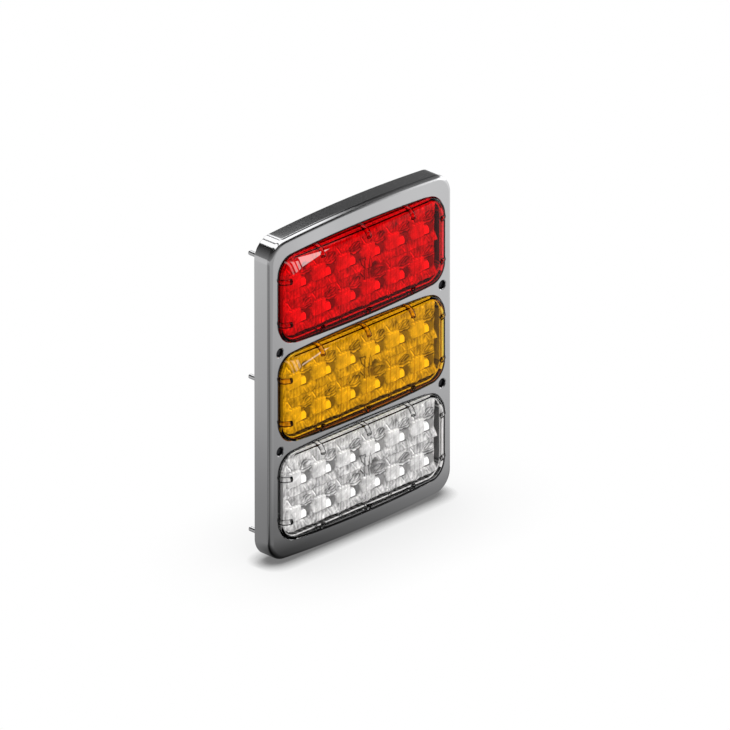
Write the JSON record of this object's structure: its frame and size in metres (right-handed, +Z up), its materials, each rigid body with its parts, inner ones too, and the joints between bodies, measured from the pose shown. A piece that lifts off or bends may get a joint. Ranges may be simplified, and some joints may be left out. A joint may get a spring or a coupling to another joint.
{
  "type": "trailer tail light",
  "caption": "Upright trailer tail light: a satin chrome bezel with bowed ends holds stacked red, amber and clear crowned lenses over LED optics, with studs and wire leads behind.",
  "frame": {"origin": "centre of the rear mounting plane, on the rear face of the middle lamp's housing, level with the gasket's rear face", "axes": "+Z up the lamp, the lenses face -Y, +Y goes into the vehicle, +X to the right seen from in front"},
  "size_m": [0.202, 0.048, 0.282],
  "materials": {
    "satin_chrome": "satin",
    "foam": "closed-cell foam",
    "black_plastic": "fine texture",
    "silicone": "matte",
    "red_lens": "polished polycarbonate",
    "amber_lens": "polished polycarbonate",
    "clear_lens": "polished polycarbonate",
    "clear_optic": "polished acrylic",
    "white_board": "solder mask",
    "rubber": "matte",
    "zinc_steel": "bright zinc",
    "black_zinc": "black zinc",
    "black_wire": "insulation",
    "brown_wire": "insulation",
    "red_wire": "insulation",
    "yellow_wire": "insulation",
    "white_wire": "insulation"
  },
  "bodies": {
    "root": {"bezel": "satin_chrome", "foam_gasket": "foam", "red_lens": "red_lens", "red_lens_seal": "silicone", "red_housing": "black_plastic", "red_led_board": "white_board", "red_optic_array": "clear_optic", "red_optic_screw": "black_zinc", "red_grommet": "rubber", "red_lamp_screw_1": "zinc_steel", "red_lamp_screw_2": "zinc_steel", "red_lamp_screw_3": "zinc_steel", "red_lamp_screw_4": "zinc_steel", "red_lamp_wire_black": "black_wire", "red_lamp_wire_brown": "brown_wire", "red_lamp_wire_red": "red_wire", "amber_lens": "amber_lens", "amber_lens_seal": "silicone", "amber_housing": "black_plastic", "amber_led_board": "white_board", "amber_optic_array": "clear_optic", "amber_optic_screw": "black_zinc", "amber_grommet": "rubber", "amber_lamp_screw_1": "zinc_steel", "amber_lamp_screw_2": "zinc_steel", "amber_lamp_screw_3": "zinc_steel", "amber_lamp_screw_4": "zinc_steel", "amber_lamp_wire_black": "black_wire", "amber_lamp_wire_yellow": "yellow_wire", "clear_lens": "clear_lens", "clear_lens_seal": "silicone", "clear_housing": "black_plastic", "clear_led_board": "white_board", "clear_optic_array": "clear_optic", "clear_optic_screw": "black_zinc", "clear_grommet": "rubber", "clear_lamp_screw_1": "zinc_steel", "clear_lamp_screw_2": "zinc_steel", "clear_lamp_screw_3": "zinc_steel", "clear_lamp_screw_4": "zinc_steel", "clear_lamp_wire_black": "black_wire", "clear_lamp_wire_white": "white_wire", "bezel_screw_1": "black_zinc", "bezel_screw_2": "black_zinc", "bezel_screw_3": "black_zinc", "bezel_screw_4": "black_zinc", "rear_stud_1": "zinc_steel", "rear_stud_2": "zinc_steel", "rear_stud_3": "zinc_steel", "rear_stud_4": "zinc_steel", "rear_stud_5": "zinc_steel", "rear_stud_6": "zinc_steel"}
  },
  "joints": []
}
